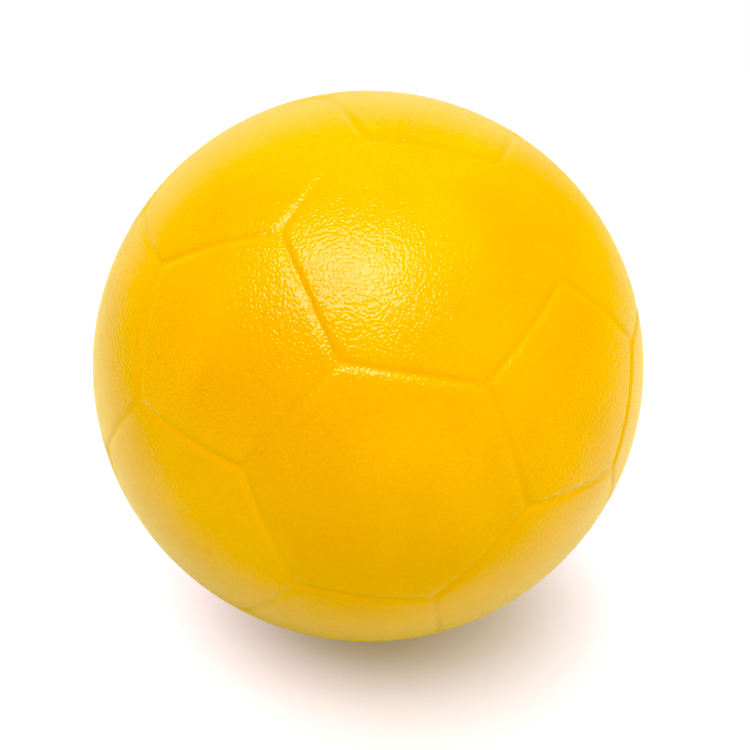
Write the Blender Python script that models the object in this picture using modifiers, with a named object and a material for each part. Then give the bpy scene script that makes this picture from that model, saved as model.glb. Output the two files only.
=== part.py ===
"""A playground ball: an inflatable moulded rubber ball with the 32-panel pattern of a football pressed into it.

The origin is the centre of the ball. +Y runs out through the valve and +Z is up. From the outside in, the wall
is a moulded rubber cover, a rubber carcass ply, a nylon winding and an air bladder, all open at the valve. The
valve is a rubber boot with a flange inside the bladder, a reinforcing patch between the two, and a pull-out core.

Each layer of the wall is an icosphere of the same facets as the next one, so the gap between layers is even.
"""

import math

import bmesh
import bpy
from mathutils import Matrix, Vector

MM = 0.001

# Wall, from the outside in.
BALL_RADIUS = 108.0 * MM
COVER_WALL = 1.5 * MM
PLY_WALL = 0.5 * MM
WINDING_WALL = 0.5 * MM
BLADDER_WALL = 0.6 * MM
GAP = 0.3 * MM  # between pieces that touch on the real ball

# Moulded groove pattern.
GROOVE_DEPTH = 0.6 * MM
GROOVE_SPREAD = 1.6 * MM  # distance from its centre line at which a groove has lost 63% of its depth
GROOVE_STEP = 0.8 * MM  # between the rings of facets that shape the groove
GROOVE_RINGS = 3  # on each side of the centre line
PATTERN_SPIN = math.radians(10.63)  # about +Y, from +Z towards +X, to the nearest pentagon
PANEL_CUTS = 3  # cuts along each side of a panel's triangles

# Valve boot: a hub through the wall, with a flange bonded inside the bladder.
HUB_RADIUS = 6.0 * MM
HUB_TOP = 107.3 * MM
HUB_BOTTOM = 91.5 * MM
HUB_TAPER = 0.8 * MM  # how much narrower the hub is at its inner end
HUB_EDGE = 0.4 * MM
FLANGE_RADIUS = 12.0 * MM
FLANGE_WALL = 1.2 * MM
BORE_RADIUS = 3.3 * MM
LIP_RADIUS = 1.6 * MM  # opening in the lip that stops the core from being pushed through
LIP_WALL = 0.8 * MM
FLARE_RADIUS = 8.2 * MM  # soft dimple moulded round the valve

# Valve core: a plug with a head, and a needle channel that ends in a self-sealing membrane.
CORE_HEAD_RADIUS = 4.2 * MM
CORE_HEAD_WALL = 1.5 * MM
CORE_TOP = 107.0 * MM
CORE_EDGE = 0.2 * MM
CHANNEL_RADIUS = 0.75 * MM
CHANNEL_MOUTH_RADIUS = 1.5 * MM
CHANNEL_MOUTH_DEPTH = 1.2 * MM
MEMBRANE_WALL = 2.0 * MM

# Patch that spreads the pull of the flange over the bladder.
PATCH_RADIUS = 17.0 * MM
PATCH_WALL = 0.6 * MM

LAYER_SUBDIVISIONS = 4
VALVE_STEPS = 40
CUTTER_REACH = 125.0 * MM  # well outside the ball
FLANGE_ARC_POINTS = 4

LAYER_HOLE_RADIUS = HUB_RADIUS + GAP
CAVITY_RADIUS = BALL_RADIUS - COVER_WALL
PLY_RADIUS = CAVITY_RADIUS - GAP
WINDING_RADIUS = PLY_RADIUS - PLY_WALL - GAP
BLADDER_RADIUS = WINDING_RADIUS - WINDING_WALL - GAP
PATCH_TOP_RADIUS = BLADDER_RADIUS - BLADDER_WALL - GAP
# A layer's facets lie at most this far inside its sphere.
FACET_SAG = 0.42 * MM
FLANGE_TOP_RADIUS = PATCH_TOP_RADIUS - PATCH_WALL - GAP - FACET_SAG

# Turns an object's local +Z to +Y, the valve's axis.
ALONG_VALVE = (-math.pi / 2, 0.0, 0.0)

RED_GREEN_BLUE = {
    "cover": (1.0, 0.46, 0.0),
    "carcass_ply": (0.05, 0.05, 0.055),
    "nylon_winding": (0.85, 0.83, 0.76),
    "bladder": (0.03, 0.03, 0.03),
    "valve_patch": (0.09, 0.08, 0.075),
    "valve_boot": (0.045, 0.045, 0.048),
    "valve_core": (0.02, 0.02, 0.02),
}
ROUGHNESS = {
    "cover": 0.38,
    "carcass_ply": 0.75,
    "nylon_winding": 0.6,
    "bladder": 0.55,
    "valve_patch": 0.7,
    "valve_boot": 0.5,
    "valve_core": 0.45,
}


def remove_everything():
    """Starts from an empty scene."""
    for obj in list(bpy.data.objects):
        bpy.data.objects.remove(obj, do_unlink=True)


def new_collection(name):
    """A collection linked to the scene."""
    collection = bpy.data.collections.new(name)
    bpy.context.scene.collection.children.link(collection)
    return collection


def piece_material(name):
    """The piece's own rubber or nylon material."""
    material = bpy.data.materials.new(name + "_material")
    material.use_nodes = True
    shader = material.node_tree.nodes["Principled BSDF"]
    shader.inputs["Base Color"].default_value = (*RED_GREEN_BLUE[name], 1.0)
    shader.inputs["Roughness"].default_value = ROUGHNESS[name]
    return material


def object_from(bm, name, collection, smooth=True):
    """Turns a bmesh into an object in the collection."""
    mesh = bpy.data.meshes.new(name)
    bm.to_mesh(mesh)
    bm.free()
    for polygon in mesh.polygons:
        polygon.use_smooth = smooth
    obj = bpy.data.objects.new(name, mesh)
    collection.objects.link(obj)
    return obj


def piece_from(bm, name, collection, smooth=True):
    """An object with a material of its own."""
    obj = object_from(bm, name, collection, smooth)
    obj.data.materials.append(piece_material(name))
    return obj


def cutter_from(bm, name, collection):
    """An object that only cuts others."""
    obj = object_from(bm, name, collection, smooth=False)
    obj.hide_render = True
    obj.display_type = "WIRE"
    return obj


def boolean(obj, cutter, operation="DIFFERENCE"):
    """Cuts the object with the cutter."""
    modifier = obj.modifiers.new(operation.lower(), "BOOLEAN")
    modifier.operation = operation
    modifier.solver = "EXACT"
    modifier.object = cutter


def icosphere(radius):
    """A sphere of even triangles with a corner at its local +Z."""
    bm = bmesh.new()
    bmesh.ops.create_icosphere(bm, subdivisions=LAYER_SUBDIVISIONS, radius=radius)
    return bm


def valve_cylinder(radius, bottom, top):
    """A cylinder round the valve's axis."""
    bm = bmesh.new()
    bmesh.ops.create_cone(
        bm,
        cap_ends=True,
        segments=VALVE_STEPS,
        radius1=radius,
        radius2=radius,
        depth=top - bottom,
        matrix=Matrix.Translation((0.0, 0.0, (bottom + top) / 2)),
    )
    return bm


def closed_profile(points):
    """A loop of edges in the local XZ plane."""
    bm = bmesh.new()
    corners = [bm.verts.new((r, 0.0, z)) for r, z in points]
    for a, b in zip(corners, corners[1:] + corners[:1]):
        bm.edges.new((a, b))
    return bm


def open_profile(points):
    """A line of edges in the local XZ plane, whose ends lie on the axis."""
    bm = bmesh.new()
    corners = [bm.verts.new((r, 0.0, z)) for r, z in points]
    for a, b in zip(corners, corners[1:]):
        bm.edges.new((a, b))
    return bm


def spin(obj):
    """Turns the object's profile round its local Z."""
    modifier = obj.modifiers.new("spin", "SCREW")
    modifier.axis = "Z"
    modifier.angle = 2 * math.pi
    modifier.steps = VALVE_STEPS
    modifier.render_steps = VALVE_STEPS
    modifier.use_merge_vertices = True
    modifier.merge_threshold = 0.00001
    modifier.use_smooth_shade = True


def pattern_turn(bm):
    """The turn that puts a panel's centre on +Y and its nearest pentagon at the pattern's spin angle."""
    corners = list(bm.faces)[0].verts
    middle = sum((v.co for v in corners), Vector()).normalized()
    pentagon = corners[0].co
    across = (pentagon - middle * pentagon.dot(middle)).normalized()
    held = Matrix((middle, across, middle.cross(across)))
    out = Vector((0.0, 1.0, 0.0))
    aim = Vector((math.sin(PATTERN_SPIN), 0.0, math.cos(PATTERN_SPIN)))
    wanted = Matrix((out, aim, out.cross(aim))).transposed()
    return wanted @ held


def groove_depth(distance):
    """Depth of the soft, round-shouldered groove at a distance from its centre line."""
    return GROOVE_DEPTH * math.exp(-((distance / GROOVE_SPREAD) ** 2))


def corners_of(faces):
    """The vertices of some faces."""
    return {vertex for face in faces for vertex in face.verts}


def add_groove_rings(bm, panel, depth):
    """Insets the border of one panel ring by ring, and notes how deep each ring lies."""
    for ring in range(1, GROOVE_RINGS + 1):
        before = corners_of(panel)
        bmesh.ops.inset_region(
            bm,
            faces=panel,
            thickness=GROOVE_STEP,
            use_even_offset=True,
            use_boundary=True,
        )
        for vertex in corners_of(panel) - before:
            vertex[depth] = groove_depth(ring * GROOVE_STEP)


def panelled_ball():
    """The outer skin: 12 pentagons and 20 hexagons with a groove along every side."""
    bm = bmesh.new()
    bmesh.ops.create_icosphere(bm, subdivisions=1, radius=BALL_RADIUS)
    bmesh.ops.rotate(bm, verts=bm.verts, cent=(0.0, 0.0, 0.0), matrix=pattern_turn(bm))
    bmesh.ops.bevel(
        bm,
        geom=bm.verts,
        offset=100.0 / 3,
        offset_type="PERCENT",
        affect="VERTICES",
        segments=1,
        profile=0.5,
    )
    panel_of = bm.faces.layers.int.new("panel")
    depth = bm.verts.layers.float.new("depth")
    for index, face in enumerate(bm.faces):
        face[panel_of] = index
    bmesh.ops.poke(bm, faces=list(bm.faces))
    bmesh.ops.subdivide_edges(bm, edges=list(bm.edges), cuts=PANEL_CUTS, use_grid_fill=True)

    panels = {}
    for face in bm.faces:
        panels.setdefault(face[panel_of], []).append(face)
    for vertex in bm.verts:
        touching = {face[panel_of] for face in vertex.link_faces}
        vertex[depth] = groove_depth(0.0) if len(touching) > 1 else 0.0
        vertex.co = vertex.co.normalized() * BALL_RADIUS
    for panel in panels.values():
        add_groove_rings(bm, panel, depth)
    for vertex in bm.verts:
        vertex.co = vertex.co.normalized() * (BALL_RADIUS - vertex[depth])
    bmesh.ops.triangulate(bm, faces=list(bm.faces))
    bmesh.ops.recalc_face_normals(bm, faces=list(bm.faces))
    return bm


def build_cover(pieces, cutters):
    """The cover: the panelled skin, hollowed and open at the valve with a flared mouth."""
    cover = piece_from(panelled_ball(), "cover", pieces)
    cavity = cutter_from(icosphere(CAVITY_RADIUS), "cover_cavity", cutters)
    cavity.rotation_euler = ALONG_VALVE
    boolean(cover, cavity)
    mouth_top = BALL_RADIUS + GAP
    mouth = open_profile(
        [
            (0.0, mouth_top),
            (FLARE_RADIUS, mouth_top),
            (FLARE_RADIUS, BALL_RADIUS - GAP),
            (LAYER_HOLE_RADIUS, HUB_TOP - GAP),
            (LAYER_HOLE_RADIUS, HUB_BOTTOM),
            (0.0, HUB_BOTTOM),
        ]
    )
    mouth = cutter_from(mouth, "cover_mouth", cutters)
    mouth.rotation_euler = ALONG_VALVE
    spin(mouth)
    boolean(cover, mouth)


def build_layer(name, radius, wall, hole, pieces):
    """One layer of the wall, open at the valve."""
    layer = piece_from(icosphere(radius), name, pieces)
    layer.rotation_euler = ALONG_VALVE
    thickness = layer.modifiers.new("wall", "SOLIDIFY")
    thickness.thickness = wall
    thickness.offset = -1.0
    boolean(layer, hole)


def build_patch(hole, pieces, cutters):
    """The reinforcing patch: a disc of a layer just inside the bladder."""
    patch = piece_from(icosphere(PATCH_TOP_RADIUS), "valve_patch", pieces)
    patch.rotation_euler = ALONG_VALVE
    thickness = patch.modifiers.new("wall", "SOLIDIFY")
    thickness.thickness = PATCH_WALL
    thickness.offset = -1.0
    outline = valve_cylinder(PATCH_RADIUS, HUB_BOTTOM, CUTTER_REACH)
    outline = cutter_from(outline, "patch_outline", cutters)
    outline.rotation_euler = ALONG_VALVE
    boolean(patch, outline, "INTERSECT")
    boolean(patch, hole)


def dome(radius, inner, outer):
    """Points of a sphere's profile from one distance off the axis to another."""
    steps = range(FLANGE_ARC_POINTS)
    spread = [inner + (outer - inner) * i / (FLANGE_ARC_POINTS - 1) for i in steps]
    return [(r, math.sqrt(radius**2 - r**2)) for r in spread]


def build_boot(pieces):
    """The valve boot: its top faces out, its bore holds the core, and its flange lies under the patch."""
    seat_radius = CORE_HEAD_RADIUS + GAP
    seat_level = CORE_TOP - CORE_HEAD_WALL - GAP
    lip_level = HUB_BOTTOM + LIP_WALL
    profile = [
        (seat_radius, HUB_TOP),
        (HUB_RADIUS - HUB_EDGE, HUB_TOP),
        (HUB_RADIUS, HUB_TOP - HUB_EDGE),
        *dome(FLANGE_TOP_RADIUS, HUB_RADIUS, FLANGE_RADIUS),
        *reversed(dome(FLANGE_TOP_RADIUS - FLANGE_WALL, HUB_RADIUS, FLANGE_RADIUS)),
        (HUB_RADIUS - HUB_TAPER, HUB_BOTTOM + HUB_EDGE),
        (HUB_RADIUS - HUB_TAPER - HUB_EDGE, HUB_BOTTOM),
        (LIP_RADIUS, HUB_BOTTOM),
        (LIP_RADIUS, lip_level),
        (BORE_RADIUS, lip_level),
        (BORE_RADIUS, seat_level),
        (seat_radius, seat_level),
    ]
    boot = piece_from(closed_profile(profile), "valve_boot", pieces, smooth=False)
    boot.rotation_euler = ALONG_VALVE
    spin(boot)


def build_core(pieces):
    """The core, with its own origin on the valve's axis at the top of its head."""
    plug_radius = BORE_RADIUS - GAP
    plug_bottom = HUB_BOTTOM + LIP_WALL + GAP - CORE_TOP
    profile = [
        (0.0, plug_bottom + MEMBRANE_WALL),
        (CHANNEL_RADIUS, plug_bottom + MEMBRANE_WALL),
        (CHANNEL_RADIUS, -CHANNEL_MOUTH_DEPTH),
        (CHANNEL_MOUTH_RADIUS, 0.0),
        (CORE_HEAD_RADIUS - CORE_EDGE, 0.0),
        (CORE_HEAD_RADIUS, -CORE_EDGE),
        (CORE_HEAD_RADIUS, -CORE_HEAD_WALL),
        (plug_radius, -CORE_HEAD_WALL),
        (plug_radius, plug_bottom + CORE_EDGE),
        (plug_radius - CORE_EDGE, plug_bottom),
        (0.0, plug_bottom),
    ]
    core = piece_from(open_profile(profile), "valve_core", pieces, smooth=False)
    core.rotation_euler = ALONG_VALVE
    core.location = (0.0, CORE_TOP, 0.0)
    spin(core)


def build():
    """The whole ball."""
    remove_everything()
    pieces = new_collection("playground_ball")
    cutters = new_collection("cutters")
    hole = valve_cylinder(LAYER_HOLE_RADIUS, HUB_BOTTOM, CUTTER_REACH)
    hole = cutter_from(hole, "valve_hole", cutters)
    hole.rotation_euler = ALONG_VALVE
    build_cover(pieces, cutters)
    build_layer("carcass_ply", PLY_RADIUS, PLY_WALL, hole, pieces)
    build_layer("nylon_winding", WINDING_RADIUS, WINDING_WALL, hole, pieces)
    build_layer("bladder", BLADDER_RADIUS, BLADDER_WALL, hole, pieces)
    build_patch(hole, pieces, cutters)
    build_boot(pieces)
    build_core(pieces)


build()
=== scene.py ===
"""The look of the playground ball: a glossy yellow moulded rubber ball on a plain white floor.

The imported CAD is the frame. Every CAD piece is replaced by a finer one of the same shape and place: the
cover gets its soft moulded grooves and the collar round the valve, the winding gets real thread, and each
piece gets a procedural material. All lengths are in metres.
"""

import math

import bmesh
import bpy
import numpy as np
from mathutils import Matrix, Vector


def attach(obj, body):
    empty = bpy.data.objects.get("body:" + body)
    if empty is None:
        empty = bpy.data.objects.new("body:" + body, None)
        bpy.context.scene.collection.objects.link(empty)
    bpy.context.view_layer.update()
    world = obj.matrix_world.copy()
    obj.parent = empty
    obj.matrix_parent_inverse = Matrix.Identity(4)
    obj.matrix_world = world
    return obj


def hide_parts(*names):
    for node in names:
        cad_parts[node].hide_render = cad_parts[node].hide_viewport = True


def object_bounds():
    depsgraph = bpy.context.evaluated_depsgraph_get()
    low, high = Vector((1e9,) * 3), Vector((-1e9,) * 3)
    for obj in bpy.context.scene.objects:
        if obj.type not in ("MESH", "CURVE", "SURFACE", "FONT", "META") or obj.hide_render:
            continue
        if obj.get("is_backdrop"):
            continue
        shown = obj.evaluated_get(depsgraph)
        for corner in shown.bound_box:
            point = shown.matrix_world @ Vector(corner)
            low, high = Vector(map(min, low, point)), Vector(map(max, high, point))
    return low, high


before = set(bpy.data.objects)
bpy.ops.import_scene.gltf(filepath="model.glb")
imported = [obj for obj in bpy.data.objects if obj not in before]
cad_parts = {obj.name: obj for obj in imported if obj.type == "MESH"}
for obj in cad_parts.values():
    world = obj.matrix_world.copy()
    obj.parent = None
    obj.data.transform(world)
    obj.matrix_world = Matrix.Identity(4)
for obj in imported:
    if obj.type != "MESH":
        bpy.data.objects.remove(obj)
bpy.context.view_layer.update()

MM = 0.001

# The ball's wall, as the CAD has it.
BALL_RADIUS = 108.0 * MM
CAVITY_RADIUS = 106.5 * MM
PLY_RADIUS, PLY_WALL = 106.2 * MM, 0.5 * MM
WINDING_RADIUS, WINDING_WALL = 105.4 * MM, 0.5 * MM
BLADDER_RADIUS, BLADDER_WALL = 104.6 * MM, 0.6 * MM
PATCH_TOP_RADIUS, PATCH_WALL, PATCH_RADIUS = 103.7 * MM, 0.6 * MM, 17.0 * MM
LAYER_HOLE_RADIUS = 6.3 * MM

# Moulded groove pattern.
PATTERN_SPIN = math.radians(10.63)  # about +Y, from +Z towards +X, to the nearest pentagon
GROOVE_DEPTH = 0.58 * MM
GROOVE_SPREAD = 1.4 * MM  # from its centre line to where a groove has lost 63% of its depth
CORNER_CUT = 100.0 / 3  # percent of an icosahedron's edge that each corner's cut takes
SIDE_STEPS = 16  # facets along each side of a panel
FINE_ROWS = (0.3, 0.6, 0.9, 1.2, 1.5, 1.9, 2.4, 3.1, 4.4)  # mm from the groove's centre line
COARSE_ROW = 3.2 * MM

# Swells of the soft rubber: how far it strays from a true sphere, and each wave's vector and phase.
LUMP_HEIGHT = 0.12 * MM
LUMP_WAVES = (
    ((5.1, 2.3, -3.9), 0.4),
    ((-3.4, 6.2, 2.1), 1.7),
    ((2.7, -4.8, 6.6), 3.1),
    ((7.9, 5.2, 4.4), 5.0),
    ((-8.3, 3.6, -7.1), 2.2),
)

# Collar moulded round the valve: (distance off the axis, height over the sphere), in mm.
COLLAR = (
    (16.0, 0.0),
    (14.6, 0.02),
    (13.6, 0.12),
    (12.9, 0.30),
    (12.2, 0.40),
    (11.2, 0.42),
    (10.2, 0.40),
    (9.5, 0.30),
    (8.9, 0.12),
    (8.3, -0.06),
    (7.6, -0.26),
    (6.9, -0.50),
    (6.5, -0.72),
    (6.3, -0.95),
)
ROUND_PANEL_FROM, ROUND_PANEL_TO = 0.25, 0.6  # where rings go from the panel's outline to circles
CAVITY_ROWS, LAYER_ROWS = 40, 90  # from the valve round to the far side
PATCH_ROWS = 8  # across the patch and across the flange of the boot
MERGE_DISTANCE = 0.01 * MM
ON_VALVE_AXIS = 0.999  # the valve's panel is the one whose middle is nearer the axis than this cosine

# Valve.
HUB_RADIUS, HUB_TOP, HUB_BOTTOM = 6.0 * MM, 107.3 * MM, 91.5 * MM
HUB_TAPER, HUB_EDGE = 0.8 * MM, 0.4 * MM
FLANGE_TOP_RADIUS, FLANGE_RADIUS, FLANGE_WALL = 102.38 * MM, 12.0 * MM, 1.2 * MM
BORE_RADIUS, LIP_RADIUS, LIP_WALL = 3.3 * MM, 1.6 * MM, 0.8 * MM
SEAT_RADIUS, SEAT_LEVEL = 4.5 * MM, 105.2 * MM
CORE_TOP, CORE_BOTTOM = 107.0 * MM, 92.6 * MM
CORE_HEAD_RADIUS, CORE_HEAD_WALL, PLUG_RADIUS = 4.2 * MM, 1.5 * MM, 3.0 * MM
CHANNEL_RADIUS, CHANNEL_MOUTH_RADIUS, CHANNEL_MOUTH_DEPTH = 0.75 * MM, 1.5 * MM, 1.2 * MM
MEMBRANE_WALL = 2.0 * MM
TURNED_STEPS = 96
TURNED_EDGE, TURNED_EDGE_STEPS = 0.12 * MM, 3
SHARP_ANGLE = math.radians(40.0)  # edges of turned pieces sharper than this are rounded

# Nylon winding: one long thread laid over a thin mat of thread.
THREAD_RADIUS = 0.16 * MM
THREAD_TURNS = 110
THREAD_POINTS_PER_TURN = 64
THREAD_CLEARANCE = 6.9 * MM  # the thread goes round the valve's hole
GOLDEN_TURN = math.pi * (3.0 - math.sqrt(5.0))

# Camera and light. Azimuth 0 is in front of the ball, on its -Y side, and grows towards +X.
CAMERA_AZIMUTH, CAMERA_ELEVATION = math.radians(-3.42), math.radians(22.0)
CAMERA_DISTANCE = 3.063 * BALL_RADIUS
CAMERA_LENS, CAMERA_SENSOR = 38.3, 36.0  # mm
CAMERA_SHIFT = (0.009, -0.012)
CAMERA_NEAR = 0.01
KEY_AZIMUTH, KEY_ELEVATION = math.radians(-16.0), math.radians(54.5)
KEY_DISTANCE, KEY_WIDTH, KEY_DEPTH, KEY_POWER = 0.9, 0.72, 0.42, 5.6
KEY_COLOUR = (1.0, 1.0, 1.0)
BACKDROP_COLOUR = (1.0, 1.0, 1.0, 1.0)
# Soft light from all round: where it comes from and its strength there. It fades out at right angles.
WORLD_LIGHTS = (
    ((0.0, 1.0, 0.0), 0.6),
    ((0.85, 0.0, 0.53), 1.0),
    ((0.0, 0.0, 1.0), 0.45),
    ((-0.2, -0.7, 0.68), 0.32),
)
# What the gloss mirrors: a share of that light, and a warm white wall behind the ball. The wall has a
# direction, the cosines off it where it starts and where it is whole, and a strength.
MIRRORED_SHARE = 0.4
MIRRORED_WALL = ((-0.35, 0.93, 0.1), 0.4, 0.9, 1.0)
MIRRORED_COLOUR = (1.0, 0.9, 0.65, 1.0)
BLUE_FLOOR = 0.1  # blue light below this level doesn't show, as in a strongly coloured print

# Materials. Scales are in cells per metre.
# Noise mostly lies round 0.5. These are the ranges of it that are spread over a whole change of look.
NARROW_NOISE, WIDE_NOISE, HIGH_NOISE = (0.35, 0.65), (0.3, 0.7), (0.4, 0.7)

# The cover: pebbles, the ripple over them and a fine grain, with each one's share of the grain's height.
COLLAR_REACH, GRAIN_FADE = 16.5 * MM, 3.0 * MM  # the grain is whole from there out, and fades inside it
PEBBLE_SCALE, RIPPLE_SCALE, FINE_SCALE = 1000.0, 800.0, 2400.0
PEBBLE_SHARE, RIPPLE_SHARE, FINE_SHARE = 0.55, 0.45, 0.14
PEBBLE_EDGE = (0.15, 0.75)  # from a pebble's top to the bottom of the valley round it
DRIFT_SCALE, DRIFT = 0.7 * PEBBLE_SCALE, 0.6 / PEBBLE_SCALE  # keeps the pebbles off a grid
GRAIN_DEPTH, GRAIN_DEPTH_BELOW = 0.22 * MM, 0.07 * MM  # in the gloss, and in the rubber under it
CLOUD_SCALE, SCUFF_SCALE = 22.0, 60.0
RUBBER_DEEP, RUBBER_BRIGHT = (0.76, 0.34, 0.0, 1.0), (0.83, 0.39, 0.0, 1.0)
# Painted shade: a darker colour laid into the grain's valleys, where shade would fall.
PAINTED_VALLEY_SHADE = (0.62, 0.26, 0.0, 1.0)
VALLEY_SHADE, VALLEY_TOP = 0.12, 0.5  # how much of the painted valley shade the grain's valleys take, and the height where it ends
COVER_ROUGHNESS = (0.4, 0.5)
COVER_SPECULAR = 0.15
GLOSS_WEIGHT, GLOSS_ROUGHNESS = 1.0, 0.11
SHEEN_WEIGHT, SHEEN_ROUGHNESS, SHEEN_TINT = 0.7, 0.4, (1.0, 0.75, 0.0, 1.0)

# Inner rubbers: bare and dusty colour, bare and dusty roughness, and the cloth print's scale and depth.
DUST_SCALE, SPECKLE_SCALE, SPECKLE_SHARE = 40.0, 1500.0, 0.3
CLOTH_DRIFT, CLOTH_SHARE = 3.0 * MM, 0.25
PLY_RUBBER = ((0.05, 0.042, 0.036, 1.0), (0.13, 0.115, 0.1, 1.0), (0.5, 0.75), 160.0, 0.08 * MM)
BUTYL_RUBBER = ((0.012, 0.011, 0.011, 1.0), (0.075, 0.068, 0.06, 1.0), (0.45, 0.8), 90.0, 0.02 * MM)
PATCH_RUBBER = ((0.022, 0.018, 0.017, 1.0), (0.06, 0.05, 0.045, 1.0), (0.55, 0.8), 260.0, 0.05 * MM)

# Nylon of the winding.
NYLON_DARK, NYLON_LIGHT = (0.5, 0.47, 0.4, 1.0), (0.72, 0.69, 0.61, 1.0)
NYLON_BRIGHT = (0.85, 0.83, 0.77, 1.0)
STRAND_SCALE, STRAND_DEPTH, STRAND_SHARE = 420.0, 0.06 * MM, 0.5
NYLON_ROUGHNESS, NYLON_SHEEN = (0.38, 0.55), 0.3

# Moulded rubbers of the valve: plain and rubbed colour, and plain and rubbed roughness.
RUB_SCALE, MOULD_SCALE, MOULD_DEPTH = 300.0, 2600.0, 0.015 * MM
MOULDED_SPECULAR = 0.2
BOOT_RUBBER = ((0.014, 0.006, 0.006, 1.0), (0.036, 0.017, 0.017, 1.0), (0.42, 0.6))
CORE_RUBBER = ((0.009, 0.004, 0.004, 1.0), (0.022, 0.01, 0.01, 1.0), (0.28, 0.45))

# Floor.
FLOOR_SIZE = 12.0
FLOOR_DARK, FLOOR_LIGHT = (0.6, 0.6, 0.595, 1.0), (0.64, 0.64, 0.635, 1.0)
FLOOR_TONE_SCALE, FLOOR_GRAIN_SCALE, FLOOR_GRAIN_DEPTH = 6.0, 500.0, 0.02 * MM
FLOOR_ROUGHNESS, FLOOR_SPECULAR = (0.55, 0.65), 0.2
# The camera sees a whiter floor than the one that lights the ball. This painted glow is weak round the ball
# and strong far off, so it paints the shadow's size and place. These are the light added in the heart of the
# shadow and far off, the distances from the heart between which it grows, and the heart's place.
FLOOR_GLOW, GLOW_REACH = (0.14, 0.6), (0.02, 0.13)
PAINTED_SHADOW_CENTRE = (0.03, -0.03, 0.0)
# The glow's tint makes the painted shadow warmer.
GLOW_COLOUR = (1.0, 0.84, 0.9, 1.0)
MIRRORED_GLOW = 0.18  # light added to the floor only in the ball's gloss, a painted reflection on its lower rim

# Turns an object's local +Z to +Y, the valve's axis.
ALONG_VALVE = (-math.pi / 2, 0.0, 0.0)


# ---------------------------------------------------------------- geometry


def direction(azimuth, elevation):
    """Unit vector from the ball's centre. Azimuth 0 is -Y and grows towards +X."""
    flat = math.cos(elevation)
    return Vector((math.sin(azimuth) * flat, -math.cos(azimuth) * flat, math.sin(elevation)))


def unit(points):
    """The points' directions from the ball's centre."""
    return points / np.linalg.norm(points, axis=-1, keepdims=True)


def smooth_step(low, high, value):
    """0 below low, 1 above high, and a smooth rise between."""
    share = np.clip((value - low) / (high - low), 0.0, 1.0)
    return share * share * (3.0 - 2.0 * share)


def pattern_turn(bm):
    """The turn that puts a panel's centre on +Y and its nearest pentagon at the pattern's spin angle."""
    corners = list(bm.faces)[0].verts
    middle = sum((v.co for v in corners), Vector()).normalized()
    pentagon = corners[0].co
    across = (pentagon - middle * pentagon.dot(middle)).normalized()
    held = Matrix((middle, across, middle.cross(across)))
    out = Vector((0.0, 1.0, 0.0))
    aim = Vector((math.sin(PATTERN_SPIN), 0.0, math.cos(PATTERN_SPIN)))
    wanted = Matrix((out, aim, out.cross(aim))).transposed()
    return wanted @ held


def panel_outlines():
    """The corners of the 12 pentagons and 20 hexagons, each in order round its panel, as unit vectors."""
    bm = bmesh.new()
    bmesh.ops.create_icosphere(bm, subdivisions=1, radius=1.0)
    bmesh.ops.rotate(bm, verts=bm.verts, cent=(0.0, 0.0, 0.0), matrix=pattern_turn(bm))
    bmesh.ops.bevel(
        bm,
        geom=bm.verts,
        offset=CORNER_CUT,
        offset_type="PERCENT",
        affect="VERTICES",
        segments=1,
        profile=0.5,
    )
    bmesh.ops.recalc_face_normals(bm, faces=list(bm.faces))
    outlines = [unit(np.array([v.co for v in face.verts])) for face in bm.faces]
    bm.free()
    return outlines


def seams_of(outlines):
    """Every side of every panel once, as pairs of unit vectors."""
    seams = {}
    for outline in outlines:
        for a, b in zip(outline, np.roll(outline, -1, axis=0)):
            key = tuple(np.round(a + b, 4))
            seams[key] = (a, b)
    return list(seams.values())


def groove_profile(points, seams):
    """Groove depth at each unit vector. The soft troughs of neighbouring seams run into each other."""
    left = np.ones(len(points))
    for a, b in seams:
        normal = np.cross(a, b)
        normal /= np.linalg.norm(normal)
        off = points @ normal
        along = points - off[:, None] * normal
        between = (np.cross(a, along) @ normal > 0) & (np.cross(along, b) @ normal > 0)
        to_line = np.arcsin(np.clip(np.abs(off), 0.0, 1.0))
        to_end = np.arccos(np.clip(np.maximum(points @ a, points @ b), -1.0, 1.0))
        distance = BALL_RADIUS * np.where(between, to_line, to_end)
        left *= 1.0 - np.exp(-((distance / GROOVE_SPREAD) ** 2))
    return GROOVE_DEPTH * (1.0 - left)


def lumps(points):
    """Slow, small swells of the soft skin."""
    total = sum(np.sin(points @ np.array(wave) + phase) for wave, phase in LUMP_WAVES)
    return LUMP_HEIGHT * total / len(LUMP_WAVES)


def skin(points, seams):
    """Unit vectors moved out to the cover's outer face."""
    radius = BALL_RADIUS - groove_profile(points, seams) + lumps(points)
    return points * radius[:, None]


def outline_loop(outline):
    """Points along a panel's flat outline, side by side."""
    steps = np.arange(SIDE_STEPS)[:, None] / SIDE_STEPS
    sides = [a + (b - a) * steps for a, b in zip(outline, np.roll(outline, -1, axis=0))]
    return np.concatenate(sides)


def row_shares(reach):
    """How far each ring lies from a panel's outline, as shares of the way to its centre."""
    fine = [row * MM for row in FINE_ROWS]
    count = round((reach - fine[-1]) / COARSE_ROW)
    coarse = np.linspace(fine[-1], reach, count + 1)[1:-1]
    return np.array([0.0, *fine, *coarse]) / reach


def plain_panel_rings(outline, seams):
    """Rings of skin points from the outline of a panel towards its centre."""
    loop, centre = outline_loop(outline), outline.mean(axis=0)
    reach = BALL_RADIUS * np.linalg.norm((outline[0] + outline[1]) / 2 - centre)
    rings = [skin(unit(loop + (centre - loop) * share), seams) for share in row_shares(reach)]
    return rings, skin(unit(centre)[None], seams)[0]


def circle(angles, radius, height):
    """A ring round the valve's axis, at a height along +Y."""
    level = np.full(len(angles), height)
    return np.stack([radius * np.sin(angles), level, radius * np.cos(angles)], axis=1)


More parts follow.
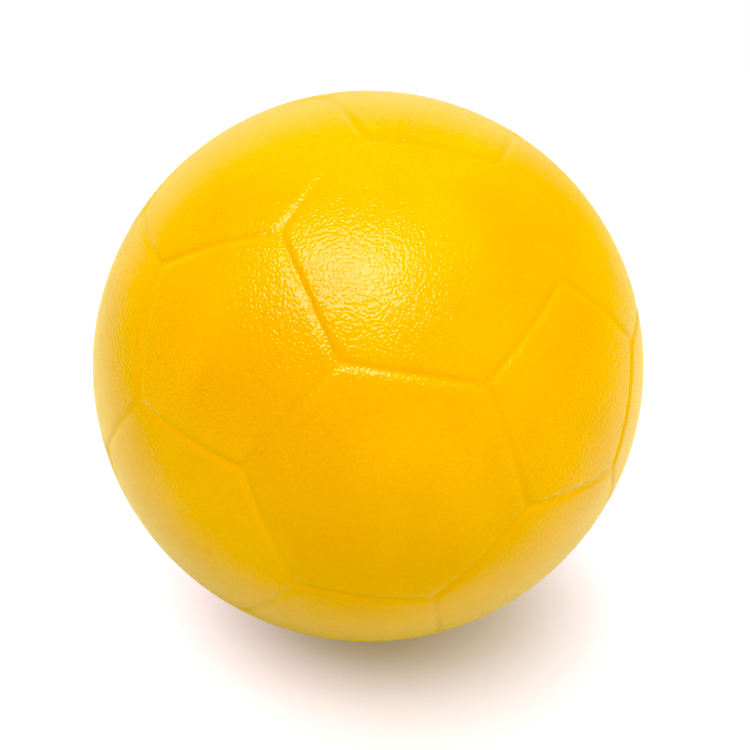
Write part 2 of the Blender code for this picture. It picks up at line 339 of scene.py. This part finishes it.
def valve_panel_rings(outline, seams):
    """Rings from the outline of the valve's panel over the collar, down the hole and round the cavity."""
    loop, centre = unit(outline_loop(outline)), outline.mean(axis=0)
    angles = np.arctan2(loop[:, 0], loop[:, 2])
    reach = BALL_RADIUS * np.linalg.norm((outline[0] + outline[1]) / 2 - centre)
    edge = BALL_RADIUS * np.hypot(loop[:, 0], loop[:, 2])
    last = COLLAR[0][0] * MM
    rings = []
    for share in row_shares(reach):
        circular = smooth_step(ROUND_PANEL_FROM, ROUND_PANEL_TO, share)
        off = (edge + (edge.mean() - edge) * circular) * (1.0 - share)
        if off.min() <= last + COARSE_ROW / 2:
            break
        height = np.sqrt(BALL_RADIUS**2 - off**2)
        points = np.stack([off * np.sin(angles), height, off * np.cos(angles)], axis=1)
        rings.append(skin(unit(points), seams))
    for off, rise in COLLAR:
        height = math.sqrt(BALL_RADIUS**2 - (off * MM) ** 2) + rise * MM
        rings.append(circle(angles, off * MM, height))
    start = math.asin(LAYER_HOLE_RADIUS / CAVITY_RADIUS)
    for polar in np.linspace(start, math.pi, CAVITY_ROWS + 1)[:-1]:
        rings.append(
            circle(angles, CAVITY_RADIUS * math.sin(polar), CAVITY_RADIUS * math.cos(polar))
        )
    return rings, np.array((0.0, -CAVITY_RADIUS, 0.0))


def mesh_of_rings(groups):
    """Joins each group's rings, and the last one to its tip, in one mesh."""
    points, faces = [], []
    count = 0
    for rings, tip in groups:
        size = len(rings[0])
        start = np.arange(size)
        after = np.roll(start, -1)
        for index in range(len(rings) - 1):
            outer, inner = count + index * size, count + (index + 1) * size
            faces += np.stack([outer + start, outer + after, inner + after, inner + start], 1).tolist()
        last = count + (len(rings) - 1) * size
        tip_index = count + len(rings) * size
        faces += [[last + a, last + b, tip_index] for a, b in zip(start.tolist(), after.tolist())]
        points += [*rings, tip[None]]
        count = tip_index + 1
    mesh = bpy.data.meshes.new("rings")
    mesh.from_pydata(np.concatenate(points).tolist(), [], faces)
    return mesh


def new_object(name, data):
    """An object in the scene, shaded smooth."""
    obj = bpy.data.objects.new(name, data)
    bpy.context.scene.collection.objects.link(obj)
    if obj.type == "MESH":
        for polygon in data.polygons:
            polygon.use_smooth = True
    return obj


def build_cover():
    """The moulded cover: grooved outer face, collar, hole and inner face in one closed mesh."""
    outlines = panel_outlines()
    seams = seams_of(outlines)
    groups = []
    for outline in outlines:
        on_valve = unit(outline.mean(axis=0))[1] > ON_VALVE_AXIS
        make = valve_panel_rings if on_valve else plain_panel_rings
        groups.append(make(outline, seams))
    mesh = mesh_of_rings(groups)
    bm = bmesh.new()
    bm.from_mesh(mesh)
    bmesh.ops.remove_doubles(bm, verts=list(bm.verts), dist=MERGE_DISTANCE)
    bmesh.ops.recalc_face_normals(bm, faces=list(bm.faces))
    bm.to_mesh(mesh)
    bm.free()
    return new_object("cover_skin", mesh)


def turned(name, profile, closed):
    """A piece turned round the valve's axis from (distance off the axis, height along it) points."""
    bm = bmesh.new()
    corners = [bm.verts.new((off, 0.0, height)) for off, height in profile]
    pairs = zip(corners, corners[1:] + corners[:1]) if closed else zip(corners, corners[1:])
    for a, b in pairs:
        bm.edges.new((a, b))
    mesh = bpy.data.meshes.new(name)
    bm.to_mesh(mesh)
    bm.free()
    obj = new_object(name, mesh)
    obj.rotation_euler = ALONG_VALVE
    spin = obj.modifiers.new("spin", "SCREW")
    spin.axis = "Z"
    spin.steps = TURNED_STEPS
    spin.render_steps = TURNED_STEPS
    spin.use_merge_vertices = True
    spin.merge_threshold = MERGE_DISTANCE
    spin.use_smooth_shade = True
    edge = obj.modifiers.new("edge", "BEVEL")
    edge.width = TURNED_EDGE
    edge.segments = TURNED_EDGE_STEPS
    edge.limit_method = "ANGLE"
    edge.angle_limit = SHARP_ANGLE
    return obj


def arc(radius, start, end, count):
    """Points of a sphere's profile between two angles off the valve's axis."""
    angles = np.linspace(start, end, count)
    return [(radius * math.sin(a), radius * math.cos(a)) for a in angles]


def hole_angle(radius):
    """Angle off the valve's axis at which a sphere of this radius meets the wall of the hole."""
    return math.asin(LAYER_HOLE_RADIUS / radius)


def build_layer(name, radius, wall):
    """One closed layer of the wall, open at the valve."""
    inner = radius - wall
    outside = arc(radius, math.pi, hole_angle(radius), LAYER_ROWS)
    inside = arc(inner, hole_angle(inner), math.pi, LAYER_ROWS)
    outside[0], inside[-1] = (0.0, -radius), (0.0, -inner)
    return turned(name, [*outside, *inside], closed=False)


def build_patch():
    """The reinforcing disc just inside the bladder."""
    top, bottom = PATCH_TOP_RADIUS, PATCH_TOP_RADIUS - PATCH_WALL
    outside = arc(top, hole_angle(top), math.asin(PATCH_RADIUS / top), PATCH_ROWS)
    inside = arc(bottom, math.asin(PATCH_RADIUS / bottom), hole_angle(bottom), PATCH_ROWS)
    return turned("patch_disc", [*outside, *inside], closed=True)


def build_boot():
    """The valve's housing: hub, flange, bore, seat for the core's head and the lip under the core."""
    under = FLANGE_TOP_RADIUS - FLANGE_WALL
    top = arc(
        FLANGE_TOP_RADIUS,
        math.asin(HUB_RADIUS / FLANGE_TOP_RADIUS),
        math.asin(FLANGE_RADIUS / FLANGE_TOP_RADIUS),
        PATCH_ROWS,
    )
    bottom = arc(under, math.asin(FLANGE_RADIUS / under), math.asin(HUB_RADIUS / under), PATCH_ROWS)
    lip_level = HUB_BOTTOM + LIP_WALL
    profile = [
        (SEAT_RADIUS, HUB_TOP),
        (HUB_RADIUS - HUB_EDGE, HUB_TOP),
        (HUB_RADIUS, HUB_TOP - HUB_EDGE),
        *top,
        *bottom,
        (HUB_RADIUS - HUB_TAPER, HUB_BOTTOM + HUB_EDGE),
        (HUB_RADIUS - HUB_TAPER - HUB_EDGE, HUB_BOTTOM),
        (LIP_RADIUS, HUB_BOTTOM),
        (LIP_RADIUS, lip_level),
        (BORE_RADIUS, lip_level),
        (BORE_RADIUS, SEAT_LEVEL),
        (SEAT_RADIUS, SEAT_LEVEL),
    ]
    return turned("boot_housing", profile, closed=True)


def build_core():
    """The pull-out core, with the mouth of its needle channel in the middle of its head."""
    shoulder = CORE_TOP - CORE_HEAD_WALL
    channel_bottom = CORE_BOTTOM + MEMBRANE_WALL
    profile = [
        (0.0, channel_bottom),
        (CHANNEL_RADIUS, channel_bottom),
        (CHANNEL_RADIUS, CORE_TOP - CHANNEL_MOUTH_DEPTH),
        (CHANNEL_MOUTH_RADIUS, CORE_TOP),
        (CORE_HEAD_RADIUS, CORE_TOP),
        (CORE_HEAD_RADIUS, shoulder),
        (PLUG_RADIUS, shoulder),
        (PLUG_RADIUS, CORE_BOTTOM),
        (0.0, CORE_BOTTOM),
    ]
    return turned("core_plug", profile, closed=False)


def build_thread():
    """One long thread, wound in great circles whose plane turns a little with every turn."""
    count = THREAD_TURNS * THREAD_POINTS_PER_TURN
    turn = np.arange(count) / THREAD_POINTS_PER_TURN
    around = 2 * math.pi * turn
    tilt = np.arccos(1.0 - turn / THREAD_TURNS)
    facing = GOLDEN_TURN * turn
    across = np.stack([np.cos(facing), 0 * facing, -np.sin(facing)], axis=1)
    pole = np.stack(
        [np.sin(tilt) * np.sin(facing), np.cos(tilt), np.sin(tilt) * np.cos(facing)], axis=1
    )
    other = np.cross(pole, across)
    path = across * np.cos(around)[:, None] + other * np.sin(around)[:, None]
    path *= WINDING_RADIUS - THREAD_RADIUS
    off = np.hypot(path[:, 0], path[:, 2])
    near = (path[:, 1] > 0) & (off < THREAD_CLEARANCE)  # moved straight out, away from the valve's axis
    path[near] *= (THREAD_CLEARANCE / off[near])[:, None] ** np.array((1.0, 0.0, 1.0))
    curve = bpy.data.curves.new("winding_thread", "CURVE")
    curve.dimensions = "3D"
    curve.bevel_depth = THREAD_RADIUS
    curve.bevel_resolution = 1
    curve.use_fill_caps = True
    spline = curve.splines.new("POLY")
    spline.points.add(count - 1)
    spline.points.foreach_set("co", np.column_stack([path, np.ones(count)]).ravel())
    return new_object("winding_thread", curve)


# ---------------------------------------------------------------- materials


class Tree:
    """The node tree of a material or world, with short ways to add and link nodes."""

    def __init__(self, owner):
        owner.use_nodes = True
        self.nodes, self.links = owner.node_tree.nodes, owner.node_tree.links

    def add(self, kind, settings=None, **inputs):
        """Adds a node. An input is a value, or an output to link from. An underscore stands for a space."""
        node = self.nodes.new(kind)
        for key, value in (settings or {}).items():
            setattr(node, key, value)
        for key, value in inputs.items():
            self.feed(node.inputs[key.replace("_", " ")], value)
        return node

    def feed(self, socket, value):
        """Gives a socket a value or a link."""
        if isinstance(value, bpy.types.NodeSocket):
            self.links.new(value, socket)
        else:
            socket.default_value = value

    def maths(self, operation, *values):
        """The result of a Math node."""
        node = self.add("ShaderNodeMath", {"operation": operation})
        for socket, value in zip(node.inputs, values):
            self.feed(socket, value)
        return node.outputs[0]

    def span(self, value, low, high, to_low=0.0, to_high=1.0):
        """A value moved from one range to another, with a smooth start and end."""
        node = self.add(
            "ShaderNodeMapRange",
            {"interpolation_type": "SMOOTHSTEP"},
            Value=value,
            From_Min=low,
            From_Max=high,
            To_Min=to_low,
            To_Max=to_high,
        )
        return node.outputs["Result"]

    def blend(self, share, first, second):
        """A colour between two others."""
        node = self.add("ShaderNodeMix", {"data_type": "RGBA"})
        self.feed(node.inputs["Factor"], share)
        self.feed(node.inputs["A"], first)
        self.feed(node.inputs["B"], second)
        return node.outputs["Result"]


class Surface(Tree):
    """A material's node tree."""

    def __init__(self, name):
        self.material = bpy.data.materials.new(name)
        super().__init__(self.material)
        self.shader = self.nodes["Principled BSDF"]
        self.place = self.add("ShaderNodeTexCoord").outputs["Object"]

    def noise(self, scale, detail=2.0, roughness=0.5, distortion=0.0):
        """A noise value. scale is in cells per metre."""
        node = self.add(
            "ShaderNodeTexNoise",
            Vector=self.place,
            Scale=scale,
            Detail=detail,
            Roughness=roughness,
            Distortion=distortion,
        )
        return node.outputs["Fac"]

    def bump(self, height, distance, socket="Normal"):
        """Shapes the surface by a height from 0 to 1, over a distance in metres."""
        node = self.add("ShaderNodeBump", Height=height, Distance=distance)
        self.links.new(node.outputs["Normal"], self.shader.inputs[socket])

    def moved(self, scale, amount):
        """Positions pushed about by noise, by up to half the amount in metres."""
        node = self.add("ShaderNodeTexNoise", Vector=self.place, Scale=scale, Detail=1.0)
        push = self.add("ShaderNodeVectorMath", {"operation": "MULTIPLY_ADD"})
        self.feed(push.inputs[0], node.outputs["Color"])
        push.inputs[1].default_value = (amount,) * 3
        self.feed(push.inputs[2], self.place)
        return push.outputs[0]

    def cells(self, scale, place, smoothness=0.6):
        """Soft-edged cells: 0 at a cell's middle, rising to its edges."""
        node = self.add(
            "ShaderNodeTexVoronoi",
            {"feature": "SMOOTH_F1"},
            Vector=place,
            Scale=scale,
            Smoothness=smoothness,
        )
        return node.outputs["Distance"]

    def weave(self, scale, place):
        """Two sets of crossing threads, from 0 to 1."""
        bands = [
            self.add(
                "ShaderNodeTexWave",
                {"bands_direction": axis},
                Vector=place,
                Scale=scale,
                Distortion=0.6,
                Detail=1.0,
            ).outputs["Fac"]
            for axis in ("X", "Z")
        ]
        return self.maths("MAXIMUM", *bands)


def cover_material():
    """Glossy yellow rubber with a moulded pebble grain, which fades out on the smooth collar."""
    tree = Surface("yellow_rubber")
    away = tree.add("ShaderNodeVectorMath", {"operation": "DISTANCE"})
    tree.feed(away.inputs[0], tree.place)
    away.inputs[1].default_value = (0.0, BALL_RADIUS, 0.0)
    grained = tree.span(away.outputs["Value"], COLLAR_REACH - GRAIN_FADE, COLLAR_REACH)
    pebbles = tree.cells(PEBBLE_SCALE, tree.moved(DRIFT_SCALE, DRIFT))
    pebbles = tree.span(pebbles, *PEBBLE_EDGE, 1.0, 0.0)
    ripple = tree.noise(RIPPLE_SCALE, detail=3.0, roughness=0.55, distortion=0.8)
    fine = tree.noise(FINE_SCALE, detail=2.0)
    ripple = tree.maths("MULTIPLY", ripple, RIPPLE_SHARE)
    coarse = tree.maths("MULTIPLY_ADD", pebbles, PEBBLE_SHARE, ripple)
    height = tree.maths("MULTIPLY_ADD", fine, FINE_SHARE, coarse)
    height = tree.maths("MULTIPLY", height, grained)
    tree.bump(height, GRAIN_DEPTH_BELOW)
    tree.bump(height, GRAIN_DEPTH, "Coat Normal")
    tone = tree.span(tree.noise(CLOUD_SCALE, detail=3.0), *NARROW_NOISE)
    colour = tree.blend(tone, RUBBER_DEEP, RUBBER_BRIGHT)
    # Painted shade: the grain's valleys are darkened in colour, standing in for the shade that falls there.
    valley = tree.span(pebbles, 0.0, VALLEY_TOP, VALLEY_SHADE, 0.0)
    valley = tree.maths("MULTIPLY", valley, grained)
    colour = tree.blend(valley, colour, PAINTED_VALLEY_SHADE)
    tree.feed(tree.shader.inputs["Base Color"], colour)
    scuffs = tree.noise(SCUFF_SCALE, detail=4.0, roughness=0.6, distortion=0.4)
    tree.feed(tree.shader.inputs["Roughness"], tree.span(scuffs, *WIDE_NOISE, *COVER_ROUGHNESS))
    tree.shader.inputs["Specular IOR Level"].default_value = COVER_SPECULAR
    tree.shader.inputs["Coat Weight"].default_value = GLOSS_WEIGHT
    tree.shader.inputs["Coat Roughness"].default_value = GLOSS_ROUGHNESS
    tree.shader.inputs["Sheen Weight"].default_value = SHEEN_WEIGHT
    tree.shader.inputs["Sheen Roughness"].default_value = SHEEN_ROUGHNESS
    tree.shader.inputs["Sheen Tint"].default_value = SHEEN_TINT
    return tree.material


def inner_rubber_material(name, dark, light, roughness, weave_scale, weave_depth):
    """Dark rubber with the print of cloth in it and a little dust on it."""
    tree = Surface(name)
    cloth = tree.weave(weave_scale, tree.moved(DUST_SCALE, CLOTH_DRIFT))
    dust = tree.span(tree.noise(DUST_SCALE, detail=5.0, roughness=0.65), *HIGH_NOISE)
    dust = tree.maths("MULTIPLY", dust, 1.0 - CLOTH_SHARE)
    share = tree.maths("MULTIPLY_ADD", cloth, CLOTH_SHARE, dust)
    tree.feed(tree.shader.inputs["Base Color"], tree.blend(share, dark, light))
    tree.feed(tree.shader.inputs["Roughness"], tree.span(share, 0.0, 1.0, *roughness))
    speckle = tree.noise(SPECKLE_SCALE, detail=2.0)
    tree.bump(tree.maths("MULTIPLY_ADD", speckle, SPECKLE_SHARE, cloth), weave_depth)
    return tree.material


def nylon_material(name, dark, light):
    """Off-white nylon: fine strands along and across, and a silky sheen."""
    tree = Surface(name)
    strands = tree.weave(STRAND_SCALE, tree.moved(DUST_SCALE, CLOTH_DRIFT))
    fuzz = tree.noise(SPECKLE_SCALE, detail=3.0)
    tone = tree.maths("MULTIPLY", fuzz, 1.0 - STRAND_SHARE)
    tone = tree.maths("MULTIPLY_ADD", strands, STRAND_SHARE, tone)
    tree.feed(tree.shader.inputs["Base Color"], tree.blend(tone, dark, light))
    tree.feed(tree.shader.inputs["Roughness"], tree.span(fuzz, *WIDE_NOISE, *NYLON_ROUGHNESS))
    tree.bump(tone, STRAND_DEPTH)
    tree.shader.inputs["Sheen Weight"].default_value = NYLON_SHEEN
    return tree.material


def moulded_material(name, dark, light, roughness):
    """Plain moulded rubber of the valve: satin, with a fine mould texture and rubbed spots."""
    tree = Surface(name)
    rubbed = tree.span(tree.noise(RUB_SCALE, detail=4.0, roughness=0.6), *HIGH_NOISE)
    tree.feed(tree.shader.inputs["Base Color"], tree.blend(rubbed, dark, light))
    tree.feed(tree.shader.inputs["Roughness"], tree.span(rubbed, 0.0, 1.0, *roughness))
    tree.bump(tree.noise(MOULD_SCALE, detail=3.0), MOULD_DEPTH)
    tree.shader.inputs["Specular IOR Level"].default_value = MOULDED_SPECULAR
    return tree.material


def floor_material():
    """Smooth pale board, a little uneven, with a painted glow, seen only by camera and gloss, that shapes
    its shadow.
    """
    tree = Surface("floor")
    tone = tree.noise(FLOOR_TONE_SCALE, detail=3.0)
    tree.feed(tree.shader.inputs["Base Color"], tree.blend(tone, FLOOR_DARK, FLOOR_LIGHT))
    tree.feed(tree.shader.inputs["Roughness"], tree.span(tone, *WIDE_NOISE, *FLOOR_ROUGHNESS))
    tree.bump(tree.noise(FLOOR_GRAIN_SCALE, detail=2.0), FLOOR_GRAIN_DEPTH)
    tree.shader.inputs["Specular IOR Level"].default_value = FLOOR_SPECULAR
    tree.shader.inputs["Emission Color"].default_value = GLOW_COLOUR
    away = tree.add("ShaderNodeVectorMath", {"operation": "DISTANCE"})
    tree.feed(away.inputs[0], tree.place)
    away.inputs[1].default_value = PAINTED_SHADOW_CENTRE
    # Painted shadow: the camera's glow is weakest round the heart, which sets the shadow's size, depth and
    # place.
    glow = tree.span(away.outputs["Value"], *GLOW_REACH, *FLOOR_GLOW)
    rays = tree.add("ShaderNodeLightPath").outputs
    # Painted reflection: a glow on the floor that only the ball's gloss sees, brightening its lower rim.
    mirrored = tree.maths("MULTIPLY", rays["Is Glossy Ray"], MIRRORED_GLOW)
    strength = tree.maths("MULTIPLY_ADD", rays["Is Camera Ray"], glow, mirrored)
    tree.feed(tree.shader.inputs["Emission Strength"], strength)
    return tree.material


# ---------------------------------------------------------------- studio


def build_floor(level):
    """A wide floor that the ball lies on."""
    half = FLOOR_SIZE / 2
    corners = [(-half, -half, 0.0), (half, -half, 0.0), (half, half, 0.0), (-half, half, 0.0)]
    mesh = bpy.data.meshes.new("floor")
    mesh.from_pydata(corners, [], [(0, 1, 2, 3)])
    floor = new_object("floor", mesh)
    floor.location.z = level
    mesh.materials.append(floor_material())
    floor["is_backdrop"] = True


def lobe(tree, facing, source, low, high, strength):
    """Light from one direction: nothing below one cosine off it, whole above another."""
    across = tree.add("ShaderNodeVectorMath", {"operation": "DOT_PRODUCT"})
    tree.feed(across.inputs[0], facing)
    across.inputs[1].default_value = source
    return tree.span(across.outputs["Value"], low, high, 0.0, strength)


def build_world():
    """White to the camera. It lights the ball softly, and the gloss mirrors the wall behind the ball."""
    world = bpy.data.worlds.new("studio")
    tree = Tree(world)
    facing = tree.add("ShaderNodeTexCoord").outputs["Generated"]
    rays = tree.add("ShaderNodeLightPath").outputs
    strength = 0.0
    for source, brightness in WORLD_LIGHTS:
        strength = tree.maths("ADD", strength, lobe(tree, facing, source, 0.0, 1.0, brightness))
    mirrored = tree.maths("MULTIPLY_ADD", strength, MIRRORED_SHARE, lobe(tree, facing, *MIRRORED_WALL))
    colour = BACKDROP_COLOUR
    for kind, seen, tint in (
        ("Is Glossy Ray", mirrored, MIRRORED_COLOUR),
        ("Is Camera Ray", 1.0, BACKDROP_COLOUR),
    ):
        mix = tree.add("ShaderNodeMix", {"data_type": "FLOAT"}, Factor=rays[kind], A=strength, B=seen)
        strength = mix.outputs["Result"]
        colour = tree.blend(rays[kind], colour, tint)
    tree.feed(tree.nodes["Background"].inputs["Strength"], strength)
    tree.feed(tree.nodes["Background"].inputs["Color"], colour)
    world.cycles.sampling_method = "NONE"
    bpy.context.scene.world = world


def aimed(obj, position):
    """Puts a light or camera at a position and points it at the ball's centre."""
    obj.location = position
    obj.rotation_euler = (-position).to_track_quat("-Z", "Y").to_euler()


def build_key_light():
    """One soft box above and in front of the ball."""
    light = bpy.data.lights.new("key", "AREA")
    light.shape = "RECTANGLE"
    light.size, light.size_y = KEY_WIDTH, KEY_DEPTH
    light.energy = KEY_POWER
    light.color = KEY_COLOUR
    aimed(new_object("key", light), direction(KEY_AZIMUTH, KEY_ELEVATION) * KEY_DISTANCE)


def build_camera():
    """The camera, in front of the ball and above it."""
    camera = bpy.data.cameras.new("camera")
    camera.lens, camera.sensor_width = CAMERA_LENS, CAMERA_SENSOR
    camera.shift_x, camera.shift_y = CAMERA_SHIFT
    camera.clip_start, camera.clip_end = CAMERA_NEAR, 2 * FLOOR_SIZE
    obj = new_object("camera", camera)
    aimed(obj, direction(CAMERA_AZIMUTH, CAMERA_ELEVATION) * CAMERA_DISTANCE)
    bpy.context.scene.camera = obj


def set_picture_colours():
    """Shows colours as they are, apart from the deepest yellows, which lose what little blue they have."""
    settings = bpy.context.scene.view_settings
    settings.view_transform = "Standard"
    settings.use_curve_mapping = True
    settings.curve_mapping.black_level = (0.0, 0.0, BLUE_FLOOR)
    settings.curve_mapping.update()


def place(piece, material, body, node, slot):
    """Gives a piece its material and ties it to the frame. slot, the record's name for its finish, is not
    used.
    """
    piece.data.materials.append(material)
    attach(piece, body)
    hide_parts(node)


def build_ball():
    """Every piece of the ball, from the skin in."""
    place(build_cover(), cover_material(), "ball", "cover", "cover")
    ply = inner_rubber_material("ply_rubber", *PLY_RUBBER)
    place(build_layer("ply_layer", PLY_RADIUS, PLY_WALL), ply, "ball", "carcass_ply", "carcass_ply")
    mat_material = nylon_material("nylon_mat", NYLON_DARK, NYLON_LIGHT)
    mat = build_layer("winding_mat", WINDING_RADIUS - 2 * THREAD_RADIUS, WINDING_WALL - 2 * THREAD_RADIUS)
    place(mat, mat_material, "ball", "nylon_winding", "nylon_winding")
    thread_material = nylon_material("nylon_thread", NYLON_LIGHT, NYLON_BRIGHT)
    place(build_thread(), thread_material, "ball", "nylon_winding", "nylon_winding")
    butyl = inner_rubber_material("butyl_rubber", *BUTYL_RUBBER)
    place(build_layer("bladder_skin", BLADDER_RADIUS, BLADDER_WALL), butyl, "ball", "bladder", "bladder")
    patch = inner_rubber_material("patch_rubber", *PATCH_RUBBER)
    place(build_patch(), patch, "ball", "valve_patch", "valve_patch")
    boot = moulded_material("boot_rubber", *BOOT_RUBBER)
    place(build_boot(), boot, "ball", "valve_boot", "valve_boot")
    core = moulded_material("core_rubber", *CORE_RUBBER)
    place(build_core(), core, "core", "valve_core", "valve_core")


build_ball()
build_floor(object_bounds()[0].z)
build_world()
build_key_light()
build_camera()
set_picture_colours()
